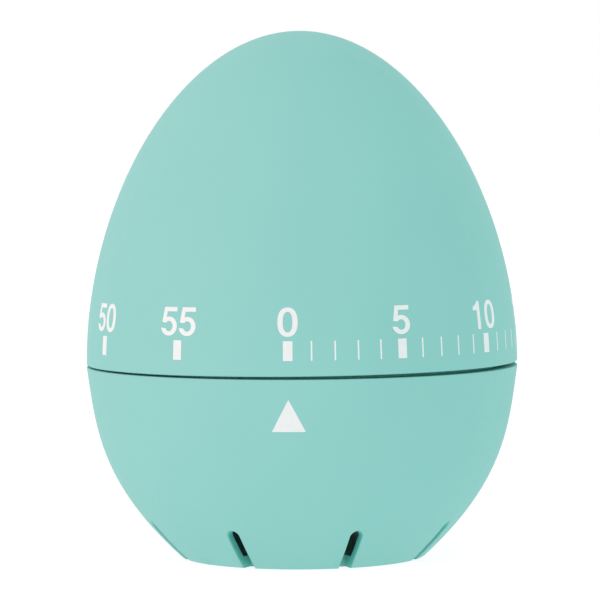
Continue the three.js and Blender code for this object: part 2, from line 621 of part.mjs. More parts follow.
// The bell's outer curve from its flat top to its rim, as [distance in from the rim, height].
const BELL_CURVE = [[3.4, 0], [1.1, 0.8], [0, 2.6]];

// A cup bell, mouth up, with a hole for its screw.
function bell() {
  const [reachScale, riseScale] = BELL_INNER_SCALE;
  const hole = SCREW_RADIUS + FIT_GAP;
  const outside = BELL_CURVE.map(([inward, rise]) => [BELL_RADIUS - inward, BELL_Z + rise]);
  const inside = BELL_CURVE.map(([inward, rise]) =>
    [BELL_RADIUS - BELL_METAL - inward * reachScale, BELL_Z + BELL_METAL + rise * riseScale]);
  return turned([
    [hole, BELL_Z],
    ...outside,
    [BELL_RADIUS, BELL_RIM_Z],
    [BELL_RADIUS - BELL_METAL, BELL_RIM_Z],
    ...inside.reverse(),
    [hole, BELL_Z + BELL_METAL],
    [hole, BELL_Z],
  ], CENTRE, 36);
}

// ---- Main arbor and what it carries ----

// Round between the plates, and D-shaped above them where the stop arm and the carrier sit.
function mainArbor() {
  const shoulder = BOTTOM_PLATE_TOP + SHOULDER_GAP;
  const roundTop = TOP_PLATE_TOP + PIVOT_PROUD;
  const round = turned([
    [0, BOTTOM_PLATE_Z - PIVOT_PROUD],
    [CENTRE_PIVOT_RADIUS, BOTTOM_PLATE_Z - PIVOT_PROUD],
    [CENTRE_PIVOT_RADIUS, shoulder],
    [ARBOR_RADIUS, shoulder],
    [ARBOR_RADIUS, roundTop],
    [0, roundTop],
  ], CENTRE, 24);
  return join(round, prism(dOutline(ARBOR_RADIUS - 0.02, ARBOR_FLAT), TOP_PLATE_TOP, ARBOR_TOP_Z));
}

const NOSE_ANGLE = -90;         // where the hold-off lever's nose meets the cam
const CAM_SEGMENTS = 48;

// The disc whose notch lets the hold-off lever drop when the dial reaches zero.
function camDisc() {
  const outline = Array.from({ length: CAM_SEGMENTS }, (_, i) => {
    const past = (i + CAM_SEGMENTS / 2) % CAM_SEGMENTS - CAM_SEGMENTS / 2;
    const turn = past * 360 / CAM_SEGMENTS;
    const inNotch = Math.abs(turn) <= CAM_NOTCH_DEGREES / 2;
    return polar(inNotch ? CAM_RADIUS - CAM_NOTCH_DEPTH : CAM_RADIUS, NOSE_ANGLE + turn);
  });
  return prism(outline, VERGE_PLATE_Z, VERGE_PLATE_Z + ANCHOR_THICKNESS,
    [ringPoints(ARBOR_RADIUS + FIT_GAP, CENTRE, 24)]);
}

const LEVER_HUB_RADIUS = 1.2;
const LEVER_NOSE = [0.3, -CAM_RADIUS - 0.55];
const LEVER_NOSE_WIDTH = 0.8;
const LEVER_TAIL = shifted(VERGE_FINGER_END, 1.6, radians(80));
const LEVER_TAIL_WIDTH = 0.9;

// The lever whose nose rides on the cam and whose tail holds the hammer's verge still.
function holdOffLever() {
  const high = VERGE_PLATE_Z + ANCHOR_THICKNESS;
  const plate = join(
    rod(LEVER_HUB_RADIUS, LEVER_AXIS, VERGE_PLATE_Z, high),
    bar(LEVER_AXIS, LEVER_NOSE, LEVER_NOSE_WIDTH, VERGE_PLATE_Z, high),
    bar(LEVER_AXIS, LEVER_TAIL, LEVER_TAIL_WIDTH, VERGE_PLATE_Z, high),
  );
  return cut(plate, rod(PIVOT_RADIUS + RUNNING_GAP, LEVER_AXIS, VERGE_PLATE_Z - OVERRUN, high + OVERRUN));
}

// The stud that the hold-off lever swings on hangs from the top plate and ends in a head.
function leverStud() {
  const headTop = VERGE_PLATE_Z - RUNNING_GAP * 2;
  return join(
    rod(PIVOT_RADIUS, LEVER_AXIS, headTop - RUNNING_GAP, TOP_PLATE_TOP + PIVOT_PROUD),
    rod(2 * PIVOT_RADIUS, LEVER_AXIS, headTop - 0.4, headTop),
  );
}

const STOP_ARM_LOW = TOP_PLATE_TOP + SHOULDER_GAP;
const STOP_ARM_THICKNESS = 0.8;
const STOP_COLLAR_RADIUS = 3.4;
const STOP_ARM_END = 0.8;       // how far the arm reaches past the pin's ring

const stopPin = () =>
  rod(STOP_PIN_RADIUS, STOP_PIN, TOP_PLATE_Z - PIVOT_PROUD, STOP_ARM_LOW + STOP_ARM_THICKNESS + PIVOT_PROUD);

// The collar whose arm meets the stop pin at each end of the dial's turn.
function stopArm() {
  const high = STOP_ARM_LOW + STOP_ARM_THICKNESS;
  const collar = rod(STOP_COLLAR_RADIUS, CENTRE, STOP_ARM_LOW, high, 24);
  const root = polar(STOP_COLLAR_RADIUS - STOP_ARM_WIDTH, STOP_ARM_ANGLE);
  const end = polar(STOP_RADIUS + STOP_ARM_END, STOP_ARM_ANGLE);
  const arm = bar(root, end, STOP_ARM_WIDTH, STOP_ARM_LOW, high);
  const boreOutline = dOutline(ARBOR_RADIUS + FIT_GAP, ARBOR_FLAT + FIT_GAP);
  return cut(join(collar, arm), prism(boreOutline, STOP_ARM_LOW - OVERRUN, high + OVERRUN));
}

// ---- Assembly ----

const timer = new THREE.Group();

const dome = new THREE.Group();
dome.position.z = SEAM_Z;
dome.rotation.y = DOME_LEAN;
dome.add(mesh('dome_shell', domeShell().translate(0, 0, -SEAM_Z), mintPlastic()));

timer.add(
  dome,
  mesh('base_shell', baseShell(), mintPlastic()),
  mesh('dial_carrier', dialCarrier(), whiteNylon()),
  mesh('bottom_plate', bottomPlate(), steel()),
  mesh('top_plate', topPlate(), steel()),
  mesh('bell', bell(), steel()),
  mesh('bell_screw', bellScrew(), steel()),
  mesh('main_arbor', mainArbor(), steel()),
  mesh('main_wheel', wheel(MAIN_GEAR, CENTRE), brass()),
  mesh('mainspring', mainspring(), blueSteel()),
  mesh('spring_post', springPost(), steel()),
  mesh('cam_disc', camDisc(), steel()),
  mesh('stop_arm', stopArm(), steel()),
  mesh('stop_pin', stopPin(), steel()),
  mesh('second_pinion', pinion(MAIN_GEAR, CENTRE, FIRST_PINION_TEETH, SECOND_AXIS), steel()),
  mesh('second_wheel', wheel(MIDDLE_GEAR, SECOND_AXIS), brass()),
  mesh('third_pinion', pinion(MIDDLE_GEAR, SECOND_AXIS, MIDDLE_PINION_TEETH, THIRD_AXIS), steel()),
  mesh('third_wheel', wheel(THIRD_GEAR, THIRD_AXIS), brass()),
  mesh('escape_pinion', pinion(THIRD_GEAR, THIRD_AXIS, ESCAPE_PINION_TEETH, ESCAPE_AXIS), steel()),
  mesh('escape_wheel', pointedWheel(ESCAPE_WHEEL, ESCAPE_AXIS, PALLET_AXIS), brass()),
  mesh('pallet_arbor', plainArbor(PALLET_AXIS), steel()),
  mesh('pallet_lever', palletLever(), brass()),
  mesh('balance_staff', plainArbor(BALANCE_AXIS), steel()),
  mesh('balance_wheel', balanceWheel(), brass()),
  mesh('hairspring', hairspring(), blueSteel()),
  mesh('hairspring_stud', hairspringStud(), brass()),
  mesh('alarm_pinion', pinion(MAIN_GEAR, CENTRE, FIRST_PINION_TEETH, ALARM_AXIS), steel()),
  mesh('alarm_wheel', wheel(MIDDLE_GEAR, ALARM_AXIS), brass()),
  mesh('star_pinion', pinion(MIDDLE_GEAR, ALARM_AXIS, MIDDLE_PINION_TEETH, STAR_AXIS), steel()),
  mesh('star_wheel', pointedWheel(STAR_WHEEL, STAR_AXIS, HAMMER_AXIS), steel()),
  mesh('hammer_arbor', plainArbor(HAMMER_AXIS, HAMMER_ARM_Z - 0.3), steel()),
  mesh('hammer_verge', hammerVerge(), steel()),
  mesh('hammer_arm', hammerArm(), steel()),
  mesh('hammer_head', hammerHead(), brass()),
  mesh('hold_off_lever', holdOffLever(), steel()),
  mesh('lever_stud', leverStud(), steel()),
);

LUG_ANGLES.forEach((angle, i) => {
  const seat = BOTTOM_PLATE_TOP + FIT_GAP;
  timer.add(mesh(`plate_screw_${i + 1}`, screw(polar(LUG_RING, angle), seat, PLATE_SCREW_LENGTH), steel()));
});

PILLAR_ANGLES.forEach((angle, i) => {
  const seat = TOP_PLATE_TOP + FIT_GAP;
  timer.add(mesh(`pillar_${i + 1}`, pillar(angle), brass()));
  timer.add(mesh(`pillar_screw_${i + 1}`, screw(pillarCentre(angle), seat, PLATE_SCREW_LENGTH), steel()));
});

export default timer;
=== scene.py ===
"""The looks of a wind-up egg timer: a mint dome printed as the dial, on a mint base with a pointer and sound
slots, and the clockwork inside. Lengths below are in millimetres and become metres where a mesh is made."""

import json
import math

import bmesh
import bpy
from mathutils import Matrix, Vector


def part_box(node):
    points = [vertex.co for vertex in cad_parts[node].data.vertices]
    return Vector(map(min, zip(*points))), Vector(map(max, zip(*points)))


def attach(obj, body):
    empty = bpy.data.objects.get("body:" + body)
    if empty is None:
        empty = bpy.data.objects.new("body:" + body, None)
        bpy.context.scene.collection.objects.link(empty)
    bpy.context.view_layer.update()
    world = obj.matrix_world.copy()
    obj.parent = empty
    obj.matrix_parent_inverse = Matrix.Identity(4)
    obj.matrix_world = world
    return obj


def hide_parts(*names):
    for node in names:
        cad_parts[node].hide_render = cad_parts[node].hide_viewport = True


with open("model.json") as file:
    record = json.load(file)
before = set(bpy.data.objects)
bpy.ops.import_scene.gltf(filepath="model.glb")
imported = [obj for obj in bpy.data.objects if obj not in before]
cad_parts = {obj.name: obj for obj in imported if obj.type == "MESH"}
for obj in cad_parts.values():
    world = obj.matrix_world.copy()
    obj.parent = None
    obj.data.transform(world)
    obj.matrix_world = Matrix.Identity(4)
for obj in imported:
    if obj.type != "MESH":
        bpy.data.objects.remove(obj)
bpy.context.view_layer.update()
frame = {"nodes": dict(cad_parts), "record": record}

# ---- Driving dimensions ----

MM = 0.001
DOME_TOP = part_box("dome_shell")[1].z / MM
BASE_RADIUS = (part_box("base_shell")[1].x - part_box("base_shell")[0].x) / 2 / MM
LIP_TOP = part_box("base_shell")[1].z / MM
PLATE_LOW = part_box("bottom_plate")[0].z / MM
BELL_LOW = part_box("bell")[0].z / MM

SEAM = 26.84
SEAM_GAP = 0.4
DOME_RIM = SEAM + SEAM_GAP / 2
BASE_RIM = SEAM - SEAM_GAP / 2
DOME_RADIUS = 29.97
DOME_SHOULDER_RISE = 22.55
DOME_CROWN_REACH = 16.47
DOME_WALL = 1.8
DOME_LEAN = math.radians(-0.29)
BASE_WALL = 1.2
BASE_WAIST_REACH = 1.21
BASE_WAIST_DROP = 8.3
FOOT_RADIUS = 16.95
FOOT_REACH = 11.47
FOOT_RISE = 10.55
FOOT_RECESS = 0.6
FOOT_RIM = 3.0
FLOOR_TOP = 1.6
FLOOR_CLEAR = 0.1
LIP_OUTER = 27.6
LIP_INNER = 26.4
LIP_SHELF = 24.9
SHELF_CLEAR = 1
LEDGE_LOW = 31.4
LEDGE_WIDTH = 1.8
LEDGE_TAPER = 0.1
LEDGE_CLEAR = 0.5

SLOT_COUNT = 8
SLOT_TURN = math.radians(0.4)
SLOT_WIDTH = 1.75
SLOT_TOP = 5.65
SLOT_INNER_RADIUS = 14.8
SLOT_EDGE = 0.18
SLOT_EDGE_STEPS = 5
SLOT_PROUD = 0.02
SLOT_OVERRUN = 1
ARCH_STEPS = 24
SIDE_STEPS = 10
WALL_SLANT = 1.4

LUG_ANGLES = (100, 220, 340)
LUG_RING = 21.8
LUG_RADIUS = 2.4
LUG_FOOT = 6.5
LUG_BORE_FOOT = 8
SKIN_LOW = 0.4
SEAT_GAP = 0.06
BOSS_OVERLAP = 0.5
BOSS_RADIUS = 3.0
SCREW_BORE = 0.86
SKIN_SEGMENTS = 96
BORE_SEGMENTS = 16

MINUTES = 60
BAR_EVERY = 5
LAST_TICK_MINUTE = 15
BAR_LOW = 29.13
BAR_HIGH = 31.72
BAR_WIDTH = 1.27
TICK_WIDTH = 0.21
DIGIT_LOW = 32.33
DIGIT_HEIGHT = 3.76
DIGIT_WIDTH = 2.6
DIGIT_ADVANCE = 2.96
STROKE_UPRIGHT = 0.70
STROKE_LEVEL = 0.58
OVERSHOOT = 0.04
OVAL_POWER = 2.35
OVAL_STEPS = 48
POINTER_LOW = 19.7
POINTER_HIGH = 24.0
POINTER_WIDTH = 4.5
INK_RAISE = 0.02
INK_DEPTH = 0.12
INK_STEP = 0.45
MITRE_LIMIT = 0.5

CASE_SEGMENTS = 256
CURVE_STEPS = 64
EDGE_SIZE = 0.2
EDGE_SHARE = 0.45
EDGE_STEPS = 4
SHARP_ANGLE = math.radians(35)
NEAR_ZERO = 1e-6
WELD = 1e-5
RAMP_SPAN = (0.3, 0.7)

VIEW_AZIMUTH = math.radians(3.56)
VIEW_ELEVATION = math.radians(3.52)
VIEW_DISTANCE = 493.7
VIEW_CENTRE = Vector((0, 0, 30.0))
VIEW_AIM = Vector((-0.23, 0, 35.63))
VIEW_ROLL = math.radians(-0.37)
LENS = 212.4
SENSOR = 36.0
CLIP_START = 0.01
CLIP_END = 20

KEY_PLACE = (-470, -400, 255)
KEY_SIZE = 420
KEY_POWER = 1.25
KEY_COLOUR = (1, 0.40, 0.40)
FLOOR_REACH = 3000
FLOOR_GLOW = 0.88


# ---- Outlines in (radius, height) ----

def bezier(points):
    """Points along a cubic Bezier curve."""
    a, b, c, d = (Vector(p) for p in points)
    curve = []
    for i in range(CURVE_STEPS + 1):
        t = i / CURVE_STEPS
        s = 1 - t
        curve.append(a * s**3 + b * 3 * s * s * t + c * 3 * s * t * t + d * t**3)
    return curve


def inset(curve, distance):
    """The same curve moved to its left, which is inwards on a curve that climbs the outside of the case."""
    moved = []
    for i, point in enumerate(curve):
        before = curve[max(i - 1, 0)]
        after = curve[min(i + 1, len(curve) - 1)]
        along = (after - before).normalized()
        moved.append(point + Vector((-along.y, along.x)) * distance)
    return moved


def soften(outline, corners):
    """A closed outline with its sharp corners rounded off."""
    rounded = []
    for i, point in enumerate(outline):
        if i not in corners:
            rounded.append(point)
            continue
        before = outline[i - 1] - point
        after = outline[(i + 1) % len(outline)] - point
        start = point + before.normalized() * min(EDGE_SIZE, before.length * EDGE_SHARE)
        end = point + after.normalized() * min(EDGE_SIZE, after.length * EDGE_SHARE)
        for k in range(EDGE_STEPS + 1):
            t = k / EDGE_STEPS
            rounded.append(start * (1 - t) ** 2 + point * 2 * t * (1 - t) + end * t * t)
    return rounded


DOME_CURVE = bezier([
    (DOME_RADIUS, DOME_RIM),
    (DOME_RADIUS, DOME_RIM + DOME_SHOULDER_RISE),
    (DOME_CROWN_REACH, DOME_TOP),
    (0, DOME_TOP),
])
BASE_CURVE = bezier([
    (FOOT_RADIUS, 0),
    (FOOT_RADIUS + FOOT_REACH, FOOT_RISE),
    (BASE_RADIUS - BASE_WAIST_REACH, BASE_RIM - BASE_WAIST_DROP),
    (BASE_RADIUS, BASE_RIM),
])


def radius_at(curve, height):
    """The radius of an outline that climbs steadily, at a height."""
    for low, high in zip(curve, curve[1:]):
        if low.y <= height <= high.y:
            return low.x + (high.x - low.x) * (height - low.y) / (high.y - low.y)
    raise ValueError(f"no point at height {height}")


# ---- Meshes ----

def make_piece(name, build, *materials):
    """A mesh object in metres from a bmesh in millimetres."""
    mesh = bpy.data.meshes.new(name)
    build.transform(Matrix.Scale(MM, 4))
    build.to_mesh(mesh)
    build.free()
    piece = bpy.data.objects.new(name, mesh)
    bpy.context.scene.collection.objects.link(piece)
    for material in materials:
        mesh.materials.append(material)
    return piece


def lathe(outline, segments=CASE_SEGMENTS):
    """A closed outline turned about the timer's axis. Points on the axis become one vertex each."""
    build = bmesh.new()
    rings = []
    for radius, height in outline:
        if radius < NEAR_ZERO:
            rings.append([build.verts.new((0, 0, height))])
            continue
        turns = (2 * math.pi * i / segments for i in range(segments))
        rings.append([build.verts.new((radius * math.sin(t), -radius * math.cos(t), height)) for t in turns])
    for ring, after in zip(rings, rings[1:] + rings[:1]):
        if len(ring) == len(after) == 1:
            continue
        for i in range(segments):
            k = (i + 1) % segments
            corners = [ring[i % len(ring)], ring[k % len(ring)], after[k % len(after)], after[i % len(after)]]
            build.faces.new(list(dict.fromkeys(corners)))
    bmesh.ops.recalc_face_normals(build, faces=build.faces)
    return build


def prism(outline, low, high):
    """A flat outline in x and y, drawn up from one height to another."""
    build = bmesh.new()
    lower = [build.verts.new((x, y, low)) for x, y in outline]
    upper = [build.verts.new((x, y, high)) for x, y in outline]
    build.faces.new(lower[::-1])
    build.faces.new(upper)
    for i in range(len(outline)):
        k = (i + 1) % len(outline)
        build.faces.new([lower[i], lower[k], upper[k], upper[i]])
    return build


def circle(radius, degrees, ring, segments=32):
    """A circle's points, centred on a ring around the timer's axis."""
    x = ring * math.cos(math.radians(degrees))
    y = ring * math.sin(math.radians(degrees))
    turns = (2 * math.pi * i / segments for i in range(segments))
    return [(x + radius * math.cos(t), y + radius * math.sin(t)) for t in turns]


def together(builds):
    """Several bmeshes as one."""
    total = bmesh.new()
    for build in builds:
        mesh = bpy.data.meshes.new("part")
        build.to_mesh(mesh)
        build.free()
        total.from_mesh(mesh)
        bpy.data.meshes.remove(mesh)
    return total


def as_build(piece):
    """A piece's mesh as a bmesh in millimetres. The piece itself is removed."""
    build = bmesh.new()
    build.from_mesh(piece.data)
    build.transform(Matrix.Scale(1 / MM, 4))
    bpy.data.objects.remove(piece)
    return build


def carve(piece, build, operation, *materials):
    """Joins, cuts or keeps a piece with a tool, and leaves the result in the piece's mesh."""
    tool = make_piece("tool", build, *materials)
    change = piece.modifiers.new("carve", "BOOLEAN")
    change.operation = operation
    change.solver = "EXACT"
    change.material_mode = "TRANSFER"
    change.object = tool
    graph = bpy.context.evaluated_depsgraph_get()
    result = bpy.data.meshes.new_from_object(piece.evaluated_get(graph))
    piece.modifiers.clear()
    piece.data = result
    bpy.data.objects.remove(tool)


def smooth(piece):
    """Smooth shading with its edges kept sharp above an angle."""
    for face in piece.data.polygons:
        face.use_smooth = True
    piece.data.set_sharp_from_angle(angle=SHARP_ANGLE)


# ---- Materials ----

def new_material(name, colour, roughness, metallic=0.0):
    material = bpy.data.materials.new(name)
    material.use_nodes = True
    shader = material.node_tree.nodes["Principled BSDF"]
    shader.inputs["Base Color"].default_value = (*colour, 1)
    shader.inputs["Roughness"].default_value = roughness
    shader.inputs["Metallic"].default_value = metallic
    return material


def noise(material, scale, detail, roughness=0.55, stretch=(1, 1, 1)):
    """A noise value in object space. Scale is in repeats per metre."""
    nodes, links = material.node_tree.nodes, material.node_tree.links
    place = nodes.new("ShaderNodeTexCoord")
    mapping = nodes.new("ShaderNodeMapping")
    mapping.inputs["Scale"].default_value = stretch
    texture = nodes.new("ShaderNodeTexNoise")
    texture.inputs["Scale"].default_value = scale
    texture.inputs["Detail"].default_value = detail
    texture.inputs["Roughness"].default_value = roughness
    links.new(place.outputs["Object"], mapping.inputs["Vector"])
    links.new(mapping.outputs["Vector"], texture.inputs["Vector"])
    return texture.outputs["Fac"]


def ramp(material, value, low, high):
    """Two colours, or two greys, spread over a value."""
    node = material.node_tree.nodes.new("ShaderNodeValToRGB")
    for stop, place, shade in zip(node.color_ramp.elements, RAMP_SPAN, (low, high)):
        stop.position = place
        stop.color = (*shade, 1) if isinstance(shade, tuple) else (shade, shade, shade, 1)
    material.node_tree.links.new(value, node.inputs["Fac"])
    return node.outputs["Color"]


def bump(material, value, strength, distance):
    """Height from a value. Distance is in metres."""
    node = material.node_tree.nodes.new("ShaderNodeBump")
    node.inputs["Strength"].default_value = strength
    node.inputs["Distance"].default_value = distance
    material.node_tree.links.new(value, node.inputs["Height"])
    shader = material.node_tree.nodes["Principled BSDF"]
    material.node_tree.links.new(node.outputs["Normal"], shader.inputs["Normal"])


def feed(material, output, socket="Base Color"):
    """Drives an input of the material's shader from a node."""
    shader = material.node_tree.nodes["Principled BSDF"]
    material.node_tree.links.new(output, shader.inputs[socket])


def mint_plastic(name, dark, light):
    """Matt soft-touch plastic: a fine dry grain and the faintest unevenness of colour."""
    material = new_material(name, light, 0.6)
    material.node_tree.nodes["Principled BSDF"].inputs["Specular IOR Level"].default_value = 0.18
    feed(material, ramp(material, noise(material, 60, 3), dark, light))
    feed(material, ramp(material, noise(material, 900, 2), 0.56, 0.66), "Roughness")
    bump(material, noise(material, 5200, 3), 0.25, 0.00002)
    return material


def white_ink():
    """Pad-printed ink: nearly flat white with slight thin spots."""
    material = new_material("white_ink", (0.70, 0.78, 0.78), 0.5)
    spots = noise(material, 1500, 2)
    feed(material, ramp(material, spots, (0.68, 0.77, 0.77), (0.72, 0.80, 0.80)))
    bump(material, noise(material, 6000, 2), 0.15, 0.00001)
    return material


def turned_metal(name, dark, light, roughness, grain=2600):
    """Metal with fine tool marks and a little tarnish."""
    material = new_material(name, light, roughness, 1.0)
    tarnish = noise(material, 320, 4)
    feed(material, ramp(material, tarnish, dark, light))
    marks = noise(material, grain, 2, 0.6, (1, 1, 6))
    feed(material, ramp(material, marks, roughness - 0.06, roughness + 0.1), "Roughness")
    bump(material, marks, 0.2, 0.00001)
    return material


def nylon():
    """Natural nylon: milky, with a slight mould texture."""
    material = new_material("white_nylon", (0.8, 0.79, 0.74), 0.45)
    cloud = noise(material, 200, 3)
    feed(material, ramp(material, cloud, (0.76, 0.75, 0.69), (0.83, 0.82, 0.78)))
    bump(material, noise(material, 4000, 2), 0.2, 0.00001)
    return material


MINT = mint_plastic("mint_plastic", (0.233, 0.564, 0.524), (0.241, 0.576, 0.536))
# The deeper, more saturated mint below is painted shade: it stands in for the shade and the light bounced
# between mint walls inside the slots and the seam gap.
MINT_PAINTED_SHADE = mint_plastic("mint_plastic_painted_shade", (0.134, 0.60, 0.52), (0.142, 0.62, 0.54))
INK = white_ink()
FINISHES = {
    "white_nylon": nylon(),
    "bell_steel": turned_metal("bell_steel", (0.66, 0.66, 0.64), (0.76, 0.76, 0.74), 0.16, 1800),
    "brass": turned_metal("brass", (0.60, 0.42, 0.17), (0.76, 0.57, 0.26), 0.3),
    "blued_steel": turned_metal("blued_steel", (0.05, 0.07, 0.14), (0.12, 0.16, 0.26), 0.3),
    "steel": turned_metal("steel", (0.44, 0.45, 0.46), (0.60, 0.61, 0.62), 0.34),
}


# ---- Case ----

def dome_outline():
    """The dome's wall in section, with the ledge that rests on the carrier."""
    inner = DOME_RADIUS - DOME_WALL
    ledge_top = LEDGE_LOW + 2 * LEDGE_WIDTH
    inside = [p for p in inset(DOME_CURVE, DOME_WALL) if p.y > ledge_top + LEDGE_CLEAR]
    inside[-1].x = 0
    outline = [Vector((inner, DOME_RIM)), *DOME_CURVE, *inside[::-1]]
    outline += [
        Vector((inner - LEDGE_TAPER, ledge_top)),
        Vector((inner - LEDGE_WIDTH, LEDGE_LOW + LEDGE_WIDTH / 2)),
        Vector((inner - LEDGE_WIDTH, LEDGE_LOW)),
        Vector((inner, LEDGE_LOW)),
    ]
    last = len(outline)
    return soften(outline, {0, 1, last - 3, last - 2})


def lean(piece):
    """Sets a dome piece a little askew about the middle of the seam, as the dome sits on its arbor."""
    pivot = Matrix.Translation((0, 0, SEAM * MM))
    piece.data.transform(pivot @ Matrix.Rotation(DOME_LEAN, 4, "Y") @ pivot.inverted())


def make_dome():
    dome = make_piece("dome", lathe(dome_outline()), MINT)
    smooth(dome)
    lean(dome)
    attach(dome, "dial")
    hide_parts("dome_shell")


def base_outline():
    """The base's wall and floor in section, with its foot rim and the lip behind the seam."""
    wall = inset(BASE_CURVE, BASE_WALL)
    inside = [p for p in wall if FLOOR_TOP + FLOOR_CLEAR < p.y < LIP_SHELF - SHELF_CLEAR]
    outline = [
        Vector((0, FOOT_RECESS)),
        Vector((FOOT_RADIUS - FOOT_RIM - FOOT_RECESS, FOOT_RECESS)),
        Vector((FOOT_RADIUS - FOOT_RIM, 0)),
        *BASE_CURVE,
        Vector((LIP_OUTER, BASE_RIM)),
        Vector((LIP_OUTER, LIP_TOP)),
        Vector((LIP_INNER, LIP_TOP)),
        Vector((LIP_INNER, LIP_SHELF)),
        *inside[::-1],
        Vector((radius_at(wall, FLOOR_TOP), FLOOR_TOP)),
        Vector((0, FLOOR_TOP)),
    ]
    foot = 3
    top = foot + len(BASE_CURVE) - 1
    return soften(outline, {2, foot, top, top + 2, top + 3})


def slot_angle(index):
    """The turn from -Y. The slots are evenly spaced, with the pointer between two of them."""
    return SLOT_TURN + (index + 0.5) * 2 * math.pi / SLOT_COUNT


def arch(half):
    """An upright arch with its round top, as points in (x, z). Its feet reach below the case."""
    spring = SLOT_TOP - SLOT_WIDTH / 2
    side = [-SLOT_OVERRUN, *(spring * i / SIDE_STEPS for i in range(SIDE_STEPS))]
    turns = [math.pi * i / ARCH_STEPS for i in range(ARCH_STEPS + 1)]
    top = [(half * math.cos(t), spring + half * math.sin(t)) for t in turns]
    return [(half, z) for z in side] + top + [(-half, z) for z in side[::-1]]


def slot_cutter(index):
    """An arch that runs out through the wall and opens out at the surface, which rounds the slot's edge.
    The straight stretch inside takes the second material, the deeper mint of painted shade, so the cut leaves
    that painted shade on the slot's walls."""
    build = bmesh.new()

    def ring(widen, place):
        return [build.verts.new((x, -place(x, z), z)) for x, z in arch(SLOT_WIDTH / 2 + widen)]

    def surface(x, z):
        return math.sqrt(radius_at(BASE_CURVE, max(z, 0)) ** 2 - x * x)

    rings = [ring(SLOT_EDGE, lambda x, z: BASE_RADIUS + SLOT_OVERRUN)]
    for step in range(SLOT_EDGE_STEPS + 1):
        turn = math.pi / 2 * step / SLOT_EDGE_STEPS
        depth = SLOT_EDGE * WALL_SLANT * (1 - math.cos(turn)) - SLOT_PROUD
        rings.append(ring(SLOT_EDGE * (1 - math.sin(turn)), lambda x, z: surface(x, z) - depth))
    rings.append(ring(0, lambda x, z: SLOT_INNER_RADIUS))
    for outer, inner in zip(rings, rings[1:]):
        for i in range(len(outer)):
            k = (i + 1) % len(outer)
            face = build.faces.new([outer[i], outer[k], inner[k], inner[i]])
            # Material 1 is the deeper mint that paints shade and bounced light on the slot's inner walls.
            face.material_index = 1 if inner is rings[-1] else 0
    build.faces.new(rings[0][::-1])
    build.faces.new(rings[-1])
    bmesh.ops.recalc_face_normals(build, faces=build.faces)
    build.transform(Matrix.Rotation(slot_angle(index), 4, "Z"))
    return build


def deepen_seam(base):
    """Paints shade on the lip behind the seam with the deeper mint, tinted like the light that it gets off
    other mint plastic.
    """
    for face in base.data.polygons:
        if face.center.z > BASE_RIM * MM:
            face.material_index = base.data.materials.find(MINT_PAINTED_SHADE.name)


def make_base():
    base = make_piece("base", lathe(base_outline()), MINT)
    # The second material is the deeper mint of painted shade, left on the slot walls by the cut.
    carve(base, together([slot_cutter(i) for i in range(SLOT_COUNT)]), "DIFFERENCE", MINT, MINT_PAINTED_SHADE)
    columns, bores = [], []
    for angle in LUG_ANGLES:
        columns.append(prism(circle(LUG_RADIUS, angle, LUG_RING), LUG_FOOT, PLATE_LOW - SEAT_GAP))
        bores.append(prism(circle(SCREW_BORE, angle, LUG_RING, BORE_SEGMENTS), LUG_BORE_FOOT, PLATE_LOW))
    bores.append(prism(circle(SCREW_BORE, 0, 0, BORE_SEGMENTS), FLOOR_TOP, BELL_LOW))
    lugs = make_piece("lugs", together(columns), MINT)
    skin = [Vector((0, SKIN_LOW)), *BASE_CURVE, Vector((0, BASE_RIM))]
    carve(lugs, lathe(skin, SKIN_SEGMENTS), "INTERSECT", MINT)
    carve(base, as_build(lugs), "UNION", MINT)
    boss = prism(circle(BOSS_RADIUS, 0, 0), FLOOR_TOP - BOSS_OVERLAP, BELL_LOW - SEAT_GAP)
    carve(base, boss, "UNION", MINT)
    carve(base, together(bores), "DIFFERENCE", MINT)
    deepen_seam(base)
    smooth(base)
    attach(base, "case")
    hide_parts("base_shell")


# ---- Print ----

def stroke(path, closed=False):
    """A pen stroke along a path, as one closed outline, or as an outer and an inner one for a closed path.
    Level stretches are a little thinner than upright ones."""
    points = [Vector(p) for p in path]
    count = len(points)
    left, right = [], []
    for i, point in enumerate(points):
        before = points[(i - 1) % count] if closed or i else points[0]
        after = points[(i + 1) % count] if closed or i < count - 1 else points[-1]
        back = (point - before).normalized() if point != before else (after - point).normalized()
        ahead = (after - point).normalized() if after != point else back
        side = Vector((-(back + ahead).y, (back + ahead).x)).normalized()
        mitre = 1 / max(side.dot(Vector((-back.y, back.x))), MITRE_LIMIT)
        spread = Vector((side.x * STROKE_UPRIGHT, side.y * STROKE_LEVEL)) / 2 * mitre
        left.append(point + spread)
        right.append(point - spread)
    if closed:
        return [right, left]
    return [left + right[::-1]]


def arc(centre, radii, start, end, steps=18):
    """Points on an ellipse, from one angle to another in degrees."""
    turns = (math.radians(start + (end - start) * i / steps) for i in range(steps + 1))
    return [(centre[0] + radii[0] * math.cos(t), centre[1] + radii[1] * math.sin(t)) for t in turns]


W, H = DIGIT_WIDTH, DIGIT_HEIGHT
PEN_X, PEN_Y = STROKE_UPRIGHT / 2, STROKE_LEVEL / 2


def squared(share):
    """A cosine or sine made fuller, which turns an ellipse into a squarer oval."""
    return math.copysign(abs(share) ** (2 / OVAL_POWER), share)


def digit_0():
    """An oval a little squarer than an ellipse."""
    reach = (W / 2 + OVERSHOOT - PEN_X, H / 2 + OVERSHOOT - PEN_Y)
    path = []
    for i in range(OVAL_STEPS):
        turn = 2 * math.pi * i / OVAL_STEPS
        path.append((W / 2 + squared(math.cos(turn)) * reach[0], H / 2 + squared(math.sin(turn)) * reach[1]))
    return stroke(path, closed=True)


def digit_1():
    """An upright stem with a flag that runs down to its left."""
    right = W * 0.66
    left = right - STROKE_UPRIGHT
    flag_left, flag_low = right - 1.55, H - 1.22
    return [[
        (left, 0), (right, 0), (right, H), (right - 0.55, H),
        (right - 0.8, H - 0.42), (flag_left, H - 0.72), (flag_left, flag_low), (left, flag_low),
    ]]


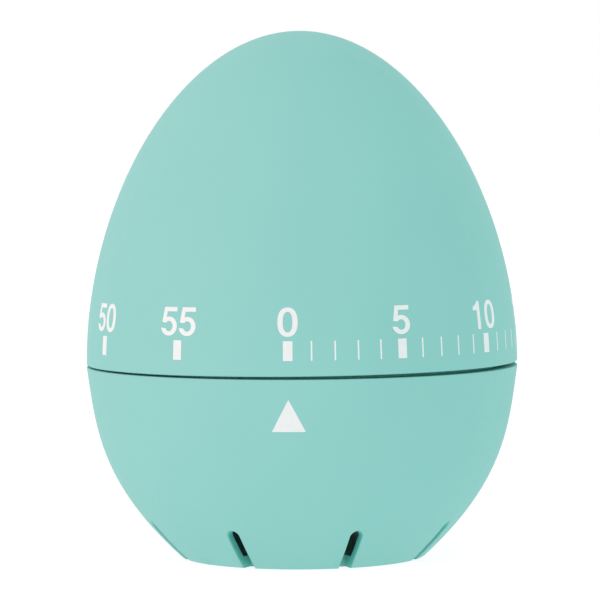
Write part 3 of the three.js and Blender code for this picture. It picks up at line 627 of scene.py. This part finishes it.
def digit_2():
    """A round top, a slanting neck and a level foot in one pen stroke."""
    drop = 1.2
    heel = PEN_X + 0.1
    top = arc((W / 2, H - drop), (W / 2 - PEN_X, drop - PEN_Y + 0.06), 165, -20, 14)
    return stroke([*top, (W * 0.62, H * 0.42), (heel, PEN_Y + 0.25), (heel, PEN_Y), (W - 0.05, PEN_Y)])


def bowl_arcs(centre, reach, outer_span, inner_span):
    """The outer and the inner side of a round stroke."""
    inner_reach = (reach[0] - STROKE_UPRIGHT, reach[1] - STROKE_LEVEL)
    return arc(centre, reach, *outer_span), arc(centre, inner_reach, *inner_span)


def digit_3():
    """Two open bowls that meet in a stub at the middle."""
    upper_rise, lower_rise = 1.03, 1.15
    upper, lower = (W * 0.47, H - upper_rise), (W * 0.48, lower_rise)
    upper_outer, upper_inner = bowl_arcs(upper, (1.1, upper_rise + OVERSHOOT), (168, -38), (-90, 160))
    lower_outer, lower_inner = bowl_arcs(lower, (1.3, lower_rise + OVERSHOOT), (50, -170), (-160, 90))
    stub = [(0.92, 1.74), (0.92, 2.26)]
    return [[*upper_outer, *lower_outer, *lower_inner, *stub, *upper_inner]]


def digit_4():
    """A stem, a crossbar and a slanting side, around a three-cornered hole."""
    stem_left, bar_low = W * 0.58, 0.85
    stem_right, bar_high = stem_left + STROKE_UPRIGHT, bar_low + STROKE_LEVEL
    outer = [
        (stem_left, 0), (stem_right, 0), (stem_right, bar_low), (W, bar_low), (W, bar_high),
        (stem_right, bar_high), (stem_right, H), (stem_left - 0.1, H), (0, bar_high + 0.1), (0, bar_low),
        (stem_left, bar_low),
    ]
    inner = [(stem_left, bar_high), (0.68, bar_high), (stem_left, H - 1.05)]
    return [outer, inner]


def digit_5():
    """A bar, a short stem that leans, and a round bowl left open at its lower left."""
    centre = (W * 0.488, 1.23)
    outer, inner = bowl_arcs(centre, (W - centre[0], centre[1] + OVERSHOOT), (-170, 110), (132, -155))
    bar_end, bar_low = W - 0.08, H - STROKE_LEVEL
    stem = [(0.42, H), (0.1, 1.74), (0.72, 1.66)]
    return [[(bar_end, H), *stem, *inner, *outer, (0.93, bar_low), (bar_end, bar_low)]]


DIGITS = {"0": digit_0, "1": digit_1, "2": digit_2, "3": digit_3, "4": digit_4, "5": digit_5}


def flat_faces(outlines):
    """Flat outlines filled, with holes where one lies inside another, and cut into small faces."""
    curve = bpy.data.curves.new("ink", "CURVE")
    curve.dimensions = "2D"
    curve.fill_mode = "BOTH"
    for outline in outlines:
        spline = curve.splines.new("POLY")
        spline.points.add(len(outline) - 1)
        for target, (x, y) in zip(spline.points, outline):
            target.co = (x, y, 0, 1)
        spline.use_cyclic_u = True
    drawn = bpy.data.objects.new("ink", curve)
    mesh = bpy.data.meshes.new_from_object(drawn)
    build = bmesh.new()
    build.from_mesh(mesh)
    bpy.data.objects.remove(drawn)
    bpy.data.curves.remove(curve)
    bpy.data.meshes.remove(mesh)
    bmesh.ops.remove_doubles(build, verts=build.verts, dist=WELD)
    for axis in (0, 1):
        low = min(v.co[axis] for v in build.verts)
        high = max(v.co[axis] for v in build.verts)
        for i in range(1, int((high - low) / INK_STEP) + 1):
            place, normal = Vector((0, 0, 0)), Vector((0, 0, 0))
            place[axis] = low + i * INK_STEP
            normal[axis] = 1
            everything = build.verts[:] + build.edges[:] + build.faces[:]
            bmesh.ops.bisect_plane(build, geom=everything, plane_co=place, plane_no=normal, dist=NEAR_ZERO)
    return build


def print_on(name, outlines, minutes, curve, low, body, leaning=False):
    """A thin layer of ink laid on the case: x runs round it and y runs up it, from a height."""
    build = flat_faces(outlines)
    bmesh.ops.solidify(build, geom=build.faces[:], thickness=INK_DEPTH)
    middle = radius_at(curve, low)
    deep = min(v.co.z for v in build.verts)
    for vertex in build.verts:
        x, y, z = vertex.co
        height = low + y
        radius = radius_at(curve, height) + INK_RAISE + (z - deep - INK_DEPTH)
        turn = 2 * math.pi * minutes / MINUTES + x / middle
        vertex.co = (radius * math.sin(turn), -radius * math.cos(turn), height)
    bmesh.ops.recalc_face_normals(build, faces=build.faces)
    piece = make_piece(name, build, INK)
    smooth(piece)
    if leaning:
        lean(piece)
    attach(piece, body)


def box_outline(width, height):
    return [[(-width / 2, 0), (width / 2, 0), (width / 2, height), (-width / 2, height)]]


def make_number(minute):
    text = str(minute)
    left = -((len(text) - 1) * DIGIT_ADVANCE + DIGIT_WIDTH) / 2
    for place, character in enumerate(text):
        shift = left + place * DIGIT_ADVANCE
        outlines = [[(x + shift, y) for x, y in outline] for outline in DIGITS[character]()]
        name = f"dial_number_{minute:02d}_{place + 1}"
        print_on(name, outlines, minute, DOME_CURVE, DIGIT_LOW, "dial", True)


def make_scale():
    """The dial's print: a bar and a number every five minutes, and fine ticks over the first quarter."""
    for minute in range(MINUTES):
        is_bar = minute % BAR_EVERY == 0
        if not is_bar and minute > LAST_TICK_MINUTE:
            continue
        width = BAR_WIDTH if is_bar else TICK_WIDTH
        kind = "bar" if is_bar else "tick"
        shape = box_outline(width, BAR_HIGH - BAR_LOW)
        print_on(f"dial_{kind}_{minute:02d}", shape, minute, DOME_CURVE, BAR_LOW, "dial", True)
        if is_bar:
            make_number(minute)


def make_pointer():
    height = POINTER_HIGH - POINTER_LOW
    outline = [[(-POINTER_WIDTH / 2, 0), (POINTER_WIDTH / 2, 0), (0, height)]]
    print_on("pointer", outline, 0, BASE_CURVE, POINTER_LOW, "case")


# ---- Movement ----

def finish_movement():
    """Gives every inner piece the finish of its slot in the record."""
    slots = {part["node"]: part["material_slot"] for part in frame["record"]["subparts"]}
    for name, node in frame["nodes"].items():
        if slots[name] not in FINISHES:
            continue
        node.data.materials.clear()
        node.data.materials.append(FINISHES[slots[name]])


# ---- Stage ----

def make_floor():
    """A wide flat floor that glows like a light table, so that it has no horizon and hardly a shadow."""
    material = new_material("floor", (0.2, 0.2, 0.2), 0.9)
    shader = material.node_tree.nodes["Principled BSDF"]
    shader.inputs["Specular IOR Level"].default_value = 0.0
    shader.inputs["Emission Color"].default_value = (1, 1, 1, 1)
    shader.inputs["Emission Strength"].default_value = FLOOR_GLOW
    feed(material, ramp(material, noise(material, 8, 2), (0.19, 0.19, 0.19), (0.21, 0.21, 0.21)))
    build = bmesh.new()
    bmesh.ops.create_grid(build, x_segments=1, y_segments=1, size=FLOOR_REACH)
    floor = make_piece("floor", build, material)


def make_light(name, place, size, power, colour):
    """A square soft box that faces the middle of the timer. Place is in millimetres."""
    lamp = bpy.data.lights.new(name, "AREA")
    lamp.shape = "SQUARE"
    lamp.size = size * MM
    lamp.energy = power
    lamp.color = colour
    light = bpy.data.objects.new(name, lamp)
    light.location = Vector(place) * MM
    aim = Vector((0, 0, DOME_TOP / 2)) - Vector(place)
    light.rotation_euler = aim.to_track_quat("-Z", "Y").to_euler()
    bpy.context.scene.collection.objects.link(light)


def make_world():
    world = bpy.data.worlds.new("studio")
    world.use_nodes = True
    background = world.node_tree.nodes["Background"]
    background.inputs["Color"].default_value = (1, 1, 1, 1)
    background.inputs["Strength"].default_value = 1.0
    bpy.context.scene.world = world
    bpy.context.scene.view_settings.view_transform = "Standard"


def make_camera():
    """The photograph's viewpoint: a long lens a few degrees above level and a little to the right."""
    camera = bpy.data.cameras.new("camera")
    camera.lens = LENS
    camera.sensor_width = SENSOR
    camera.clip_start = CLIP_START
    camera.clip_end = CLIP_END
    eye = bpy.data.objects.new("camera", camera)
    back = Vector((
        math.sin(VIEW_AZIMUTH) * math.cos(VIEW_ELEVATION),
        -math.cos(VIEW_AZIMUTH) * math.cos(VIEW_ELEVATION),
        math.sin(VIEW_ELEVATION),
    ))
    place = VIEW_CENTRE + back * VIEW_DISTANCE
    facing = (VIEW_AIM - place).to_track_quat("-Z", "Y").to_matrix().to_4x4()
    eye.matrix_world = Matrix.Translation(place * MM) @ facing @ Matrix.Rotation(VIEW_ROLL, 4, "Z")
    bpy.context.scene.collection.objects.link(eye)
    bpy.context.scene.camera = eye


make_dome()
make_base()
make_scale()
make_pointer()
finish_movement()
make_floor()
make_world()
make_light("key", KEY_PLACE, KEY_SIZE, KEY_POWER, KEY_COLOUR)
make_camera()
